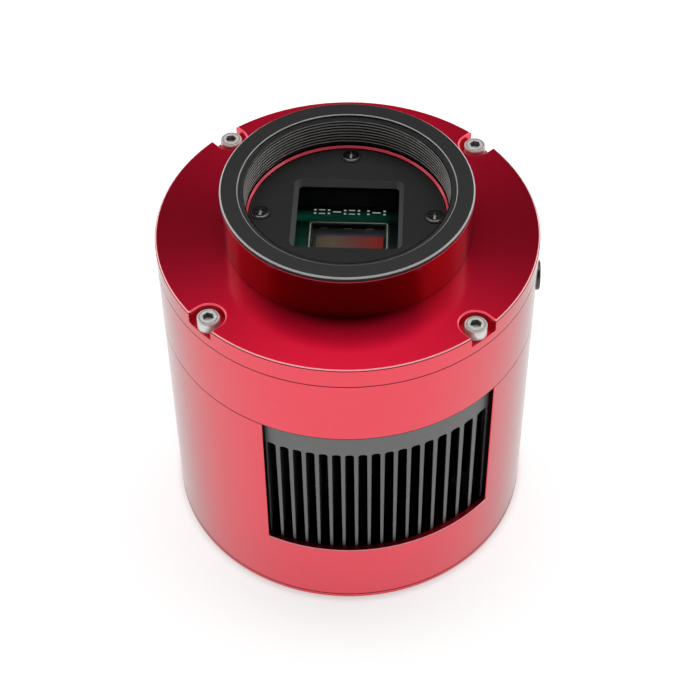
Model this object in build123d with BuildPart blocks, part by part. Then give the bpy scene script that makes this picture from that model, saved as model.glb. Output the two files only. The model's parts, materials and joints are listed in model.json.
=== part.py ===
from build123d import *
from math import cos, hypot, radians, sin
import os

# A cooled astronomy camera, in millimetres. It stands on its rear cover: the origin is the centre
# of that rear face, +Z is the optical axis towards the telescope, and -Y is the near vent.
# The sensor, its two-stage cooler, the heat sink and the fan are stacked along Z.

os.makedirs("parts", exist_ok=True)

# ---- driving dimensions: the outside ----
BODY_R = 39.0  # round body, 78 mm across
BODY_TOP = 75.0  # front face of the body
NECK_R = 25.4  # neck, the 2 inch barrel size
TOTAL_TOP = 86.0  # front face of the adapter ring
SEAM = 0.1  # dark gap left between two outer covers
EDGE = 0.3  # bright chamfer on turned outer edges
FIT = 0.05  # radial play of screws and located parts
PLAY = 0.1  # radial play of parts that move

# ---- driving dimensions: heights of the stack ----
REAR_TOP = 1.45  # inner face of the rear cover
FAN_TOP = REAR_TOP + 10.0
FIN_BOTTOM = 15.5
FIN_TOP = 47.9
CHAMBER_BOTTOM = 54.65  # heat sink's front face and the chamber's floor
FLANGE_TOP = CHAMBER_BOTTOM + 4.0
CHAMBER_TOP = 70.3
BOARD_BOTTOM = 65.4
BOARD_TOP = 67.0
SENSOR_Z = 68.5  # light-sensitive face, 17.5 mm behind the front
GLASS_BOTTOM = 74.5
BOSS_TOP = 76.8
PLATE_TOP = 78.3
SHELF_TOP = 78.7
RING_BOTTOM = 78.9
NECK_TOP = 84.85

# ---- driving dimensions: the lower shell and its vents ----
SHELL_R = 37.8  # bore of the lower shell
VENT_BOTTOM = 17.4
VENT_FROM = 38.5  # vent edges, degrees from +X, the same on both sides
VENT_TO = 113.7
VENT_CHAMFER = 0.15
LEDGE_T = 1.0
LEDGE_R = 36.5

# ---- driving dimensions: heat sink ----
SINK_R = 37.6
SLOT_PITCH = 2.645
SLOT_FIRST = -14.05
SLOT_COUNT = 19
SLOT_TOP_W = 1.8
SLOT_BOTTOM_W = 2.1
SLOT_CORNER = 0.4
FIN_LEFT = -15.88  # outer face of the first fin
WEB_X, WEB_T = 37.0, 3.0
CLAMP_R = 33.2
CLAMP_ANGLES = (25.0, -25.0, 150.0, -150.0)

# ---- driving dimensions: front opening, screws and window ----
COVER_SCREW_R = 36.6
COVER_SCREW_ANGLE = 45.0
NOTCH_R = 3.3
NOTCH_FLOOR = 72.5
RIM_CHAMFER = 0.3
LIGHT_W, LIGHT_H, LIGHT_CORNER = 25.0, 23.0, 3.0
POCKET_R = 16.15
WINDOW_R = 16.0
THREAD_R = 20.6  # bore of the M42 x 0.75 female thread
PLATE_R = 19.9
PLATE_SCREW_R = 17.55
APERTURE_Y = 0.5  # the aperture sits this far off centre

# ---- driving dimensions: chamber and sensor ----
CHAMBER_R = 32.5
BOARD_R = 29.0
BOARD_FLAT = 23.4
POSTS = [(20.0, 12.0), (20.0, -12.0), (-20.0, 12.0), (-20.0, -12.0)]
FEED_X, FEED_T, FEED_W = -22.0, 3.2, 16.0
PLUG_Z = 62.5
PLUG_R = 3.1

# ---- driving dimensions: fan and ports ----
FAN_X = 10.0
FAN_SIZE = 40.0
FAN_PITCH = 32.0
DUCT_R = 19.0
BLADE_R = 18.2
HUB_R = 10.5
BLADES = 7
REAR_POST_R = 34.6
REAR_POST_ANGLES = (55.0, -55.0, 180.0)
PORT_FACE = 0.35  # port mouths sit this far inside the rear face
MAIN_X, MAIN_T = -18.2, 1.6  # outer face and thickness of the main board


def polar(radius, degrees):
    """The point at this radius and angle from +X."""
    return (radius * cos(radians(degrees)), radius * sin(radians(degrees)))


def o_ring(radius, section, height):
    """A round-section seal lying level about Z."""
    with BuildPart() as seal:
        with BuildSketch(Plane.XZ):
            with Locations((radius, height)):
                Circle(section)
        revolve(axis=Axis.Z)
    return seal.part


def socket_screw(head_r, head_h, shank_r, length, key, depth):
    """Socket head cap screw along -Z, with the underside of its head at the origin."""
    with BuildPart() as screw:
        with BuildSketch(Plane.XY):
            Circle(head_r)
        extrude(amount=head_h)
        chamfer(screw.edges().group_by(Axis.Z)[-1], length=0.25)
        with BuildSketch(Plane.XY.offset(head_h)):
            RegularPolygon(key / 2, 6, major_radius=False)
        extrude(amount=-depth, mode=Mode.SUBTRACT)
        with BuildSketch(Plane.XY):
            Circle(shank_r)
        extrude(amount=-length)
    return screw.part


def cross_screw(head_r, head_h, shank_r, length):
    """Pan head screw along -Z with a cross recess; its head's underside is at the origin."""
    with BuildPart() as screw:
        with BuildSketch(Plane.XY):
            Circle(head_r)
        extrude(amount=head_h)
        fillet(screw.edges().group_by(Axis.Z)[-1], radius=head_h * 0.45)
        with BuildSketch(Plane.XY.offset(head_h)):
            Rectangle(head_r * 1.1, head_r * 0.26)
            Rectangle(head_r * 0.26, head_r * 1.1)
        extrude(amount=-head_h * 0.7, mode=Mode.SUBTRACT)
        with BuildSketch(Plane.XY):
            Circle(shank_r)
        extrude(amount=-length)
    return screw.part


def countersunk_screw(head_r, shank_r, length):
    """Countersunk screw along +Z with its flat head face at the origin and a cross recess."""
    cone = head_r - shank_r
    with BuildPart() as screw:
        with BuildSketch(Plane.XZ):
            Polygon((0, 0), (head_r, 0), (shank_r, cone), (shank_r, length), (0, length))
        revolve(axis=Axis.Z)
        with BuildSketch(Plane.XY):
            Rectangle(head_r * 1.0, head_r * 0.24)
            Rectangle(head_r * 0.24, head_r * 1.0)
        extrude(amount=cone * 0.7, mode=Mode.SUBTRACT)
    return screw.part


# ======================= adapter ring and neck =======================

# Black M42 x 0.75 adapter ring. Its barrel screws into the neck, its flange lies on the neck.
# The thread form itself is left off this solid: the bore is the thread's minor diameter.
RING_CHAMFER = 0.4
MOUTH_R, MOUTH_CHAMFER = 21.9, 0.45
MOUTH_FLOOR = TOTAL_TOP - 0.7
with BuildPart() as t2_adapter_ring:
    with BuildSketch(Plane.XZ):
        Polygon(
            (THREAD_R, RING_BOTTOM),
            (23.0, RING_BOTTOM),
            (23.0, NECK_TOP + SEAM),
            (NECK_R, NECK_TOP + SEAM),
            (NECK_R, TOTAL_TOP - RING_CHAMFER),
            (NECK_R - RING_CHAMFER, TOTAL_TOP),
            (MOUTH_R, TOTAL_TOP),
            (MOUTH_R - MOUTH_CHAMFER, TOTAL_TOP - MOUTH_CHAMFER),
            (MOUTH_R - MOUTH_CHAMFER, MOUTH_FLOOR),
            (THREAD_R + 0.4, MOUTH_FLOOR),
            (THREAD_R, MOUTH_FLOOR - 0.4),
        )
    revolve(axis=Axis.Z)
t2_adapter_ring.part.label = "t2_adapter_ring"
export_step(t2_adapter_ring.part, "parts/t2_adapter_ring.step")

# Red neck ring, screwed onto the boss of the front cover. A shelf below the thread shows.
BOSS_R = 20.0
with BuildPart() as neck_ring:
    with BuildSketch(Plane.XZ):
        Polygon(
            (BOSS_R + FIT, BODY_TOP),
            (NECK_R - 0.6, BODY_TOP),
            (NECK_R - 0.6, BODY_TOP + SEAM),
            (NECK_R, BODY_TOP + SEAM),
            (NECK_R, NECK_TOP - 0.1),
            (NECK_R - 0.1, NECK_TOP),
            (23.0 + PLAY, NECK_TOP),
            (23.0 + PLAY, SHELF_TOP),
            (BOSS_R + 0.45, SHELF_TOP),
            (BOSS_R + FIT, SHELF_TOP - 0.4),
        )
    revolve(axis=Axis.Z)
neck_ring.part.label = "neck_ring"
export_step(neck_ring.part, "parts/neck_ring.step")

# ======================= window =======================

# Black plate that holds the window down, with a bevelled rectangular aperture.
SCREW_SINK = 0.6
with BuildPart() as window_retainer:
    with BuildSketch(Plane.XY.offset(BOSS_TOP)):
        Circle(PLATE_R)
    extrude(amount=PLATE_TOP - BOSS_TOP)
    chamfer(window_retainer.edges().group_by(Axis.Z)[-1], length=0.15)
    with BuildSketch(Plane.XY.offset(BOSS_TOP)):
        with Locations((0, APERTURE_Y)):
            RectangleRounded(20.6, 18.2, 0.9)
    with BuildSketch(Plane.XY.offset(PLATE_TOP)):
        with Locations((0, APERTURE_Y)):
            RectangleRounded(22.4, 19.8, 1.6)
    loft(mode=Mode.SUBTRACT)
    with BuildSketch(Plane.XY.offset(PLATE_TOP)):
        with PolarLocations(PLATE_SCREW_R, 4):
            Circle(2.05)
    extrude(amount=-SCREW_SINK, mode=Mode.SUBTRACT)
    with BuildSketch(Plane.XY.offset(PLATE_TOP)):
        with PolarLocations(PLATE_SCREW_R, 4):
            Circle(1.1)
    extrude(amount=BOSS_TOP - PLATE_TOP, mode=Mode.SUBTRACT)
window_retainer.part.label = "window_retainer"
export_step(window_retainer.part, "parts/window_retainer.step")

retainer_screw = cross_screw(head_r=1.9, head_h=1.0, shank_r=0.8, length=3.4)
with BuildPart() as window_screws:
    with Locations(Plane.XY.offset(PLATE_TOP - SCREW_SINK)):
        with PolarLocations(PLATE_SCREW_R, 4):
            add(retainer_screw)
window_screws.part.label = "window_screws"
export_step(window_screws.part, "parts/window_screws.step")

# Round protective window, 32 mm across and 2 mm thick.
with BuildPart() as protect_window:
    with BuildSketch(Plane.XY.offset(GLASS_BOTTOM)):
        Circle(WINDOW_R)
    extrude(amount=2.0)
    chamfer(protect_window.edges(), length=0.2)
protect_window.part.label = "protect_window"
export_step(protect_window.part, "parts/protect_window.step")

# Moulded black gasket: a flange under the glass and a skirt that lines the light opening.
GASKET_SEAT = 74.0
SKIRT_T = 0.4
with BuildPart() as window_gasket:
    with BuildSketch(Plane.XY.offset(GASKET_SEAT)):
        Circle(WINDOW_R)
    extrude(amount=GLASS_BOTTOM - GASKET_SEAT)
    with BuildSketch(Plane.XY.offset(CHAMBER_TOP)):
        RectangleRounded(LIGHT_W - 2 * FIT, LIGHT_H - 2 * FIT, LIGHT_CORNER - FIT)
    extrude(amount=GASKET_SEAT - CHAMBER_TOP)
    with BuildSketch(Plane.XY.offset(CHAMBER_TOP)):
        RectangleRounded(LIGHT_W - 2 * SKIRT_T, LIGHT_H - 2 * SKIRT_T, LIGHT_CORNER - SKIRT_T)
    extrude(amount=GLASS_BOTTOM - CHAMBER_TOP, mode=Mode.SUBTRACT)
window_gasket.part.label = "window_gasket"
export_step(window_gasket.part, "parts/window_gasket.step")

# ======================= front cover =======================

# Red turned cover with a boss for the neck, a pocket for the window and four open notches
# in its rim where the cover screws stand.
with BuildPart() as front_cover:
    with BuildSketch(Plane.XZ):
        Polygon(
            (0, CHAMBER_TOP),
            (BODY_R - 0.8, CHAMBER_TOP),
            (BODY_R - 0.8, CHAMBER_TOP + SEAM / 2),
            (BODY_R, CHAMBER_TOP + SEAM / 2),
            (BODY_R, BODY_TOP - EDGE),
            (BODY_R - EDGE, BODY_TOP),
            (BOSS_R, BODY_TOP),
            (BOSS_R, BOSS_TOP),
            (0, BOSS_TOP),
        )
    revolve(axis=Axis.Z)
    with BuildSketch(Plane.XY.offset(GASKET_SEAT)):
        Circle(POCKET_R)
    extrude(amount=BOSS_TOP - GASKET_SEAT, mode=Mode.SUBTRACT)
    with BuildSketch(Plane.XY.offset(CHAMBER_TOP)):
        RectangleRounded(LIGHT_W, LIGHT_H, LIGHT_CORNER)
    extrude(amount=GASKET_SEAT - CHAMBER_TOP, mode=Mode.SUBTRACT)
    with BuildSketch(Plane.XY.offset(BOSS_TOP)):
        with PolarLocations(PLATE_SCREW_R, 4):
            Circle(0.8 + FIT)
    extrude(amount=-2.6, mode=Mode.SUBTRACT)
    with BuildSketch(Plane.XY.offset(NOTCH_FLOOR)):
        with PolarLocations(COVER_SCREW_R, 4, start_angle=COVER_SCREW_ANGLE):
            Circle(NOTCH_R)
            Rectangle(NOTCH_R * 2, NOTCH_R * 2, align=(Align.MIN, Align.CENTER))
    extrude(amount=BODY_TOP - NOTCH_FLOOR, mode=Mode.SUBTRACT)
    notch_mids = [polar(COVER_SCREW_R, COVER_SCREW_ANGLE + 90.0 * n) for n in range(4)]
    rims = [
        edge
        for edge in front_cover.edges().filter_by_position(Axis.Z, BODY_TOP, BODY_TOP)
        if min((edge.position_at(0.5) - Vector(x, y, BODY_TOP)).length for x, y in notch_mids) < NOTCH_R + 0.4
    ]
    chamfer(rims, length=RIM_CHAMFER)
    with BuildSketch(Plane.XY.offset(CHAMBER_TOP)):
        with PolarLocations(COVER_SCREW_R, 4, start_angle=COVER_SCREW_ANGLE):
            Circle(1.25 + FIT)
    extrude(amount=NOTCH_FLOOR - CHAMBER_TOP, mode=Mode.SUBTRACT)
front_cover.part.label = "front_cover"
export_step(front_cover.part, "parts/front_cover.step")

cap_screw = socket_screw(head_r=2.25, head_h=2.5, shank_r=1.25, length=8.0, key=2.0, depth=1.3)
with BuildPart() as cover_screws:
    with Locations(Plane.XY.offset(NOTCH_FLOOR)):
        with PolarLocations(COVER_SCREW_R, 4, start_angle=COVER_SCREW_ANGLE):
            add(cap_screw)
cover_screws.part.label = "cover_screws"
export_step(cover_screws.part, "parts/cover_screws.step")

# ======================= cooled chamber =======================

FRONT_SEAL_R, FRONT_SEAL = 34.0, 0.45
REAR_SEAL_R, REAR_SEAL = 28.6, 0.53

front_o_ring = o_ring(FRONT_SEAL_R, FRONT_SEAL, CHAMBER_TOP - FRONT_SEAL - 0.01)
front_o_ring.label = "front_o_ring"
export_step(front_o_ring, "parts/front_o_ring.step")

rear_o_ring = o_ring(REAR_SEAL_R, REAR_SEAL, CHAMBER_BOTTOM - REAR_SEAL - 0.01)
rear_o_ring.label = "rear_o_ring"
export_step(rear_o_ring, "parts/rear_o_ring.step")

# Red chamber shell: thick wall for the cover screws, floor flange that the heat sink bolts to,
# seal groove in its front face and a bored boss for the desiccant plug on the +X side.
PLUG_SEAT_X = 37.9
PLUG_BORE_R = 2.75
with BuildPart() as chamber_shell:
    with BuildSketch(Plane.XZ):
        Polygon(
            (26.6, CHAMBER_BOTTOM),
            (BODY_R, CHAMBER_BOTTOM),
            (BODY_R, CHAMBER_TOP - SEAM / 2),
            (BODY_R - 0.8, CHAMBER_TOP - SEAM / 2),
            (BODY_R - 0.8, CHAMBER_TOP),
            (CHAMBER_R, CHAMBER_TOP),
            (CHAMBER_R, FLANGE_TOP),
            (26.6, FLANGE_TOP),
        )
    revolve(axis=Axis.Z)
    with BuildSketch(Plane.XY.offset(CHAMBER_TOP)):
        Circle(FRONT_SEAL_R + 0.7)
        Circle(FRONT_SEAL_R - 0.7, mode=Mode.SUBTRACT)
    extrude(amount=-0.92, mode=Mode.SUBTRACT)
    with BuildSketch(Plane.XY.offset(CHAMBER_TOP)):
        with PolarLocations(COVER_SCREW_R, 4, start_angle=COVER_SCREW_ANGLE):
            Circle(1.25 + FIT)
    extrude(amount=-6.5, mode=Mode.SUBTRACT)
    with BuildSketch(Plane.XY.offset(CHAMBER_BOTTOM)):
        with Locations(*[polar(CLAMP_R, a) for a in CLAMP_ANGLES]):
            Circle(1.25 + FIT)
    extrude(amount=3.2, mode=Mode.SUBTRACT)
    with BuildSketch(Plane.YZ.offset(CHAMBER_R - 2)):
        with Locations((0, PLUG_Z)):
            Circle(PLUG_BORE_R)
    extrude(amount=BODY_R, mode=Mode.SUBTRACT)
    with BuildSketch(Plane.YZ.offset(PLUG_SEAT_X)):
        with Locations((0, PLUG_Z)):
            Circle(PLUG_R + PLAY)
    extrude(amount=3.0, mode=Mode.SUBTRACT)
    with BuildSketch(Plane.YZ.offset(CHAMBER_R - 2)):
        with Locations((0, PLUG_Z)):
            Circle(3.6 + FIT)
    extrude(amount=3.0, mode=Mode.SUBTRACT)
chamber_shell.part.label = "chamber_shell"
export_step(chamber_shell.part, "parts/chamber_shell.step")

clamp_screw = socket_screw(head_r=2.25, head_h=2.5, shank_r=1.25, length=9.5, key=2.0, depth=1.3)
with BuildPart() as clamp_screws:
    with Locations(Plane.XY.offset(FIN_TOP) * Rotation(180, 0, 0)):
        with Locations(*[polar(CLAMP_R, -a) for a in CLAMP_ANGLES]):
            add(clamp_screw)
clamp_screws.part.label = "clamp_screws"
export_step(clamp_screws.part, "parts/clamp_screws.step")

# ======================= desiccant plug =======================

# Dark screw plug in the side wall, with a hexagon socket and a seal under its head.
PLUG_HEAD_X = 38.5
PLUG_FACE_X = 39.7
with BuildPart() as desiccant_plug:
    with BuildSketch(Plane.YZ.offset(PLUG_HEAD_X)):
        with Locations((0, PLUG_Z)):
            Circle(PLUG_R)
    extrude(amount=PLUG_FACE_X - PLUG_HEAD_X)
    chamfer(desiccant_plug.edges().group_by(Axis.X)[-1], length=0.2)
    with BuildSketch(Plane.YZ.offset(33.9)):
        with Locations((0, PLUG_Z)):
            Circle(PLUG_BORE_R - PLAY)
    extrude(amount=PLUG_HEAD_X - 33.9)
    with BuildSketch(Plane.YZ.offset(PLUG_HEAD_X)):
        with Locations((0, PLUG_Z)):
            Circle(PLUG_BORE_R - PLAY)
            Circle(PLUG_BORE_R - 0.6, mode=Mode.SUBTRACT)
    extrude(amount=-0.6, mode=Mode.SUBTRACT)
    with BuildSketch(Plane.YZ.offset(PLUG_FACE_X)):
        with Locations((0, PLUG_Z)):
            RegularPolygon(1.5, 6, major_radius=False)
    extrude(amount=-2.2, mode=Mode.SUBTRACT)
desiccant_plug.part.label = "desiccant_plug"
export_step(desiccant_plug.part, "parts/desiccant_plug.step")

with BuildPart() as plug_o_ring:
    with BuildSketch(Plane.XZ):
        with Locations((PLUG_HEAD_X - 0.27, PLUG_Z + 2.45)):
            Circle(0.25)
    revolve(axis=Axis((0, 0, PLUG_Z), (1, 0, 0)))
plug_o_ring.part.label = "plug_o_ring"
export_step(plug_o_ring.part, "parts/plug_o_ring.step")

# Perforated cup inside the chamber that holds the drying tablets behind the plug.
HOLDER_X = 24.2
HOLDER_END_X = 33.4
with BuildPart() as desiccant_holder:
    with BuildSketch(Plane.YZ.offset(HOLDER_X)):
        with Locations((0, PLUG_Z)):
            Circle(3.6)
    extrude(amount=HOLDER_END_X - HOLDER_X)
    with BuildSketch(Plane.YZ.offset(HOLDER_X + 0.8)):
        with Locations((0, PLUG_Z)):
            Circle(PLUG_BORE_R)
    extrude(amount=HOLDER_END_X - HOLDER_X, mode=Mode.SUBTRACT)
    with BuildSketch(Plane.XY.offset(PLUG_Z - 5)):
        with Locations((HOLDER_X + 2.4, 0), (HOLDER_X + 5.6, 0)):
            Circle(0.8)
    extrude(amount=10, mode=Mode.SUBTRACT)
desiccant_holder.part.label = "desiccant_holder"
export_step(desiccant_holder.part, "parts/desiccant_holder.step")

TABLET_T = 2.6
with BuildPart() as desiccant_tablets:
    for n in range(3):
        with BuildSketch(Plane.YZ.offset(HOLDER_X + 0.9 + n * (TABLET_T + 0.1))):
            with Locations((0, PLUG_Z)):
                Circle(2.5)
        extrude(amount=TABLET_T)
    chamfer(desiccant_tablets.edges(), length=0.25)
desiccant_tablets.part.label = "desiccant_tablets"
export_step(desiccant_tablets.part, "parts/desiccant_tablets.step")

# ======================= sensor =======================

# Round green board with a flat beside the desiccant cup and a window for the cold finger.
FINGER_W, FINGER_H = 12.0, 8.0
with BuildPart() as sensor_board:
    with BuildSketch(Plane.XY.offset(BOARD_BOTTOM)):
        Circle(BOARD_R)
        with Locations((BOARD_FLAT, 0)):
            Rectangle(BOARD_R, 2 * BOARD_R, align=(Align.MIN, Align.CENTER), mode=Mode.SUBTRACT)
        Rectangle(FINGER_W + 0.6, FINGER_H + 0.6, mode=Mode.SUBTRACT)
        with Locations(*POSTS):
            Circle(1.1, mode=Mode.SUBTRACT)
    extrude(amount=BOARD_TOP - BOARD_BOTTOM)
sensor_board.part.label = "sensor_board"
export_step(sensor_board.part, "parts/sensor_board.step")

# Chips and connectors under the sensor board, clear of the posts and of the cold finger.
with BuildPart() as sensor_board_chips:
    with BuildSketch(Plane.XY.offset(BOARD_BOTTOM)):
        with Locations((0, 18.5)):
            Rectangle(9, 9)
        with Locations((-9.5, -17.5), (9.5, -17.5)):
            Rectangle(7, 5)
        with Locations((-12.5, 18.5), (12.5, 18.5)):
            Rectangle(4, 6)
    extrude(amount=-1.2)
sensor_board_chips.part.label = "sensor_board_chips"
export_step(sensor_board_chips.part, "parts/sensor_board_chips.step")

# Black ceramic package with a cavity for the die.
DIE_X = 0.25
with BuildPart() as sensor_package:
    with BuildSketch(Plane.XY.offset(BOARD_TOP)):
        RectangleRounded(16.8, 15.2, 0.9)
    extrude(amount=2.1)
    with BuildSketch(Plane.XY.offset(SENSOR_Z - 0.5)):
        RectangleRounded(15.2, 13.4, 0.6)
    extrude(amount=2.0, mode=Mode.SUBTRACT)
sensor_package.part.label = "sensor_package"
export_step(sensor_package.part, "parts/sensor_package.step")

with BuildPart() as sensor_die:
    with BuildSketch(Plane.XY.offset(SENSOR_Z - 0.5)):
        with Locations((DIE_X, 0)):
            Rectangle(13.8, 9.0)
    extrude(amount=0.5)
sensor_die.part.label = "sensor_die"
export_step(sensor_die.part, "parts/sensor_die.step")

# Thin gold seal line between the package and its lid glass.
PACKAGE_TOP = BOARD_TOP + 2.1
with BuildPart() as sensor_seal:
    with BuildSketch(Plane.XY.offset(PACKAGE_TOP)):
        RectangleRounded(16.2, 14.6, 0.8)
        RectangleRounded(15.6, 14.0, 0.5, mode=Mode.SUBTRACT)
    extrude(amount=0.1)
sensor_seal.part.label = "sensor_seal"
export_step(sensor_seal.part, "parts/sensor_seal.step")

with BuildPart() as sensor_glass:
    with BuildSketch(Plane.XY.offset(PACKAGE_TOP + 0.1)):
        RectangleRounded(16.2, 14.6, 0.8)
    extrude(amount=0.5)
sensor_glass.part.label = "sensor_glass"
export_step(sensor_glass.part, "parts/sensor_glass.step")

with BuildPart() as board_standoffs:
    with BuildSketch(Plane.XY.offset(CHAMBER_BOTTOM)):
        with Locations(*POSTS):
            RegularPolygon(2.0, 6, major_radius=False)
    extrude(amount=BOARD_BOTTOM - CHAMBER_BOTTOM)
    with BuildSketch(Plane.XY.offset(BOARD_BOTTOM)):
        with Locations(*POSTS):
            Circle(1.0 + FIT)
    extrude(amount=-5.0, mode=Mode.SUBTRACT)
board_standoffs.part.label = "board_standoffs"
export_step(board_standoffs.part, "parts/board_standoffs.step")

board_screw = cross_screw(head_r=1.9, head_h=1.3, shank_r=1.0, length=5.0)
with BuildPart() as board_screws:
    with Locations(Plane.XY.offset(BOARD_TOP)):
        with Locations(*POSTS):
            add(board_screw)
board_screws.part.label = "board_screws"
export_step(board_screws.part, "parts/board_screws.step")

# ======================= two-stage cooler =======================

HOT_PLATE_TOP = CHAMBER_BOTTOM + 0.8
MID_BOTTOM = HOT_PLATE_TOP + 1.2
MID_TOP = MID_BOTTOM + 0.8
COLD_BOTTOM = MID_TOP + 1.2
COLD_TOP = COLD_BOTTOM + 0.7
HOT_SIZE, COLD_SIZE = 30.0, 20.0


def ceramic_plate(size, low, high):
    """A square cooler plate."""
    with BuildPart() as plate:
        with BuildSketch(Plane.XY.offset(low)):
            Rectangle(size, size)
        extrude(amount=high - low)
    return plate.part


def pellets(count, pitch, low, high):
    """A square grid of semiconductor legs."""
    with BuildPart() as legs:
        with BuildSketch(Plane.XY.offset(low)):
            with GridLocations(pitch, pitch, count, count):
                Rectangle(1.4, 1.4)
        extrude(amount=high - low)
    return legs.part


tec_hot_plate = ceramic_plate(HOT_SIZE, CHAMBER_BOTTOM, HOT_PLATE_TOP)
tec_hot_plate.label = "tec_hot_plate"
export_step(tec_hot_plate, "parts/tec_hot_plate.step")

tec_lower_pellets = pellets(8, 3.6, HOT_PLATE_TOP, MID_BOTTOM)
tec_lower_pellets.label = "tec_lower_pellets"
export_step(tec_lower_pellets, "parts/tec_lower_pellets.step")

tec_mid_plate = ceramic_plate(HOT_SIZE, MID_BOTTOM, MID_TOP)
tec_mid_plate.label = "tec_mid_plate"
export_step(tec_mid_plate, "parts/tec_mid_plate.step")

tec_upper_pellets = pellets(5, 3.6, MID_TOP, COLD_BOTTOM)
tec_upper_pellets.label = "tec_upper_pellets"
export_step(tec_upper_pellets, "parts/tec_upper_pellets.step")

tec_cold_plate = ceramic_plate(COLD_SIZE, COLD_BOTTOM, COLD_TOP)
tec_cold_plate.label = "tec_cold_plate"
export_step(tec_cold_plate, "parts/tec_cold_plate.step")

# Copper block that carries the cold to the back of the sensor package.
with BuildPart() as cold_finger:
    with BuildSketch(Plane.XY.offset(COLD_TOP)):
        Rectangle(COLD_SIZE, COLD_SIZE)
    extrude(amount=BOARD_BOTTOM - 2.0 - COLD_TOP)
    with BuildSketch(Plane.XY.offset(BOARD_BOTTOM - 2.0)):
        Rectangle(FINGER_W, FINGER_H)
    extrude(amount=BOARD_TOP - BOARD_BOTTOM + 2.0)
cold_finger.part.label = "cold_finger"
export_step(cold_finger.part, "parts/cold_finger.step")

# Foam around the cooler, with holes for the posts, the board connector and the drying cup.
with BuildPart() as insulation_ring:
    with BuildSketch(Plane.XY.offset(CHAMBER_BOTTOM + 0.1)):
        Circle(26.3)
        Rectangle(HOT_SIZE + 1, HOT_SIZE + 1, mode=Mode.SUBTRACT)
        with Locations(*POSTS):
            Circle(2.5, mode=Mode.SUBTRACT)
        with Locations((FEED_X, 0)):
            Rectangle(FEED_T + 0.6, FEED_W + 0.6, mode=Mode.SUBTRACT)
        with Locations((BOARD_FLAT, 0)):
            Rectangle(10.0, 8.4, align=(Align.MIN, Align.CENTER), mode=Mode.SUBTRACT)
    extrude(amount=7.5)
insulation_ring.part.label = "insulation_ring"
export_step(insulation_ring.part, "parts/insulation_ring.step")

# ======================= heat sink =======================

# One casting: a stepped base disc, drafted fins along Y and four pads for the main board.
BASE_STEP = CHAMBER_BOTTOM - LEDGE_T - FIT
BOARD_PADS = [(19.0, 43.0), (-19.0, 43.0), (19.0, 22.0), (-19.0, 22.0)]
with BuildPart() as heat_sink:
    with BuildSketch(Plane.XZ):
        Polygon(
            (0, FIN_BOTTOM),
            (SINK_R, FIN_BOTTOM),
            (SINK_R, BASE_STEP),
            (LEDGE_R - PLAY, BASE_STEP),
            (LEDGE_R - PLAY, CHAMBER_BOTTOM),
            (0, CHAMBER_BOTTOM),
        )
    revolve(axis=Axis.Z)
    with BuildSketch(Plane.XY.offset(FIN_BOTTOM)):
        with Locations((FIN_LEFT, 0)):
            Rectangle(SINK_R, 2 * SINK_R + 2, align=(Align.MAX, Align.CENTER))
    extrude(amount=FIN_TOP - FIN_BOTTOM, mode=Mode.SUBTRACT)
    with BuildSketch(Plane.XZ):
        for n in range(SLOT_COUNT):
            x = SLOT_FIRST + n * SLOT_PITCH
            top, bottom = SLOT_TOP_W / 2, SLOT_BOTTOM_W / 2
            Polygon(
                (x - bottom, FIN_BOTTOM - 1),
                (x + bottom, FIN_BOTTOM - 1),
                (x + top, FIN_TOP - SLOT_CORNER),
                (x + top - SLOT_CORNER, FIN_TOP),
                (x - top + SLOT_CORNER, FIN_TOP),
                (x - top, FIN_TOP - SLOT_CORNER),
            )
    extrude(amount=BODY_R, both=True, mode=Mode.SUBTRACT)
    # middle web that joins the fins
    with BuildSketch(Plane.XY.offset(FIN_BOTTOM)):
        with Locations((FIN_LEFT, 0)):
            Rectangle(WEB_X - FIN_LEFT, WEB_T, align=(Align.MIN, Align.CENTER))
    extrude(amount=FIN_TOP - FIN_BOTTOM)
    # channels that the front clamp screws and their key pass through
    with BuildSketch(Plane.XY.offset(FIN_BOTTOM)):
        with Locations(*[polar(CLAMP_R, a) for a in CLAMP_ANGLES if abs(a) < 90]):
            Circle(3.0)
    extrude(amount=FIN_TOP - FIN_BOTTOM, mode=Mode.SUBTRACT)
    with BuildSketch(Plane.XY.offset(FIN_TOP)):
        with Locations(*[polar(CLAMP_R, a) for a in CLAMP_ANGLES]):
            Circle(1.25 + FIT)
        with Locations((FEED_X, 0)):
            Rectangle(FEED_T + 0.4, FEED_W + 0.4)
    extrude(amount=CHAMBER_BOTTOM - FIN_TOP, mode=Mode.SUBTRACT)
    with BuildSketch(Plane.XY.offset(CHAMBER_BOTTOM)):
        Circle(REAR_SEAL_R + 0.9)
        Circle(REAR_SEAL_R - 0.9, mode=Mode.SUBTRACT)
    extrude(amount=-2 * REAR_SEAL - 0.04, mode=Mode.SUBTRACT)
    with BuildSketch(Plane.YZ.offset(FIN_LEFT)):
        with Locations(*BOARD_PADS):
            Circle(2.4)
    extrude(amount=MAIN_X + MAIN_T - FIN_LEFT)
    with BuildSketch(Plane.YZ.offset(MAIN_X + MAIN_T)):
        with Locations(*BOARD_PADS):
            Circle(1.0 + FIT)
    extrude(amount=2.6, mode=Mode.SUBTRACT)
heat_sink.part.label = "heat_sink"
export_step(heat_sink.part, "parts/heat_sink.step")

# ======================= lower shell =======================


def vent_wedge(side):
    """Corners of a wedge from the axis that spans one vent; side is +1 or -1."""
    return [(0, 0), polar(60, side * VENT_FROM), polar(60, side * VENT_TO)]


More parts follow.
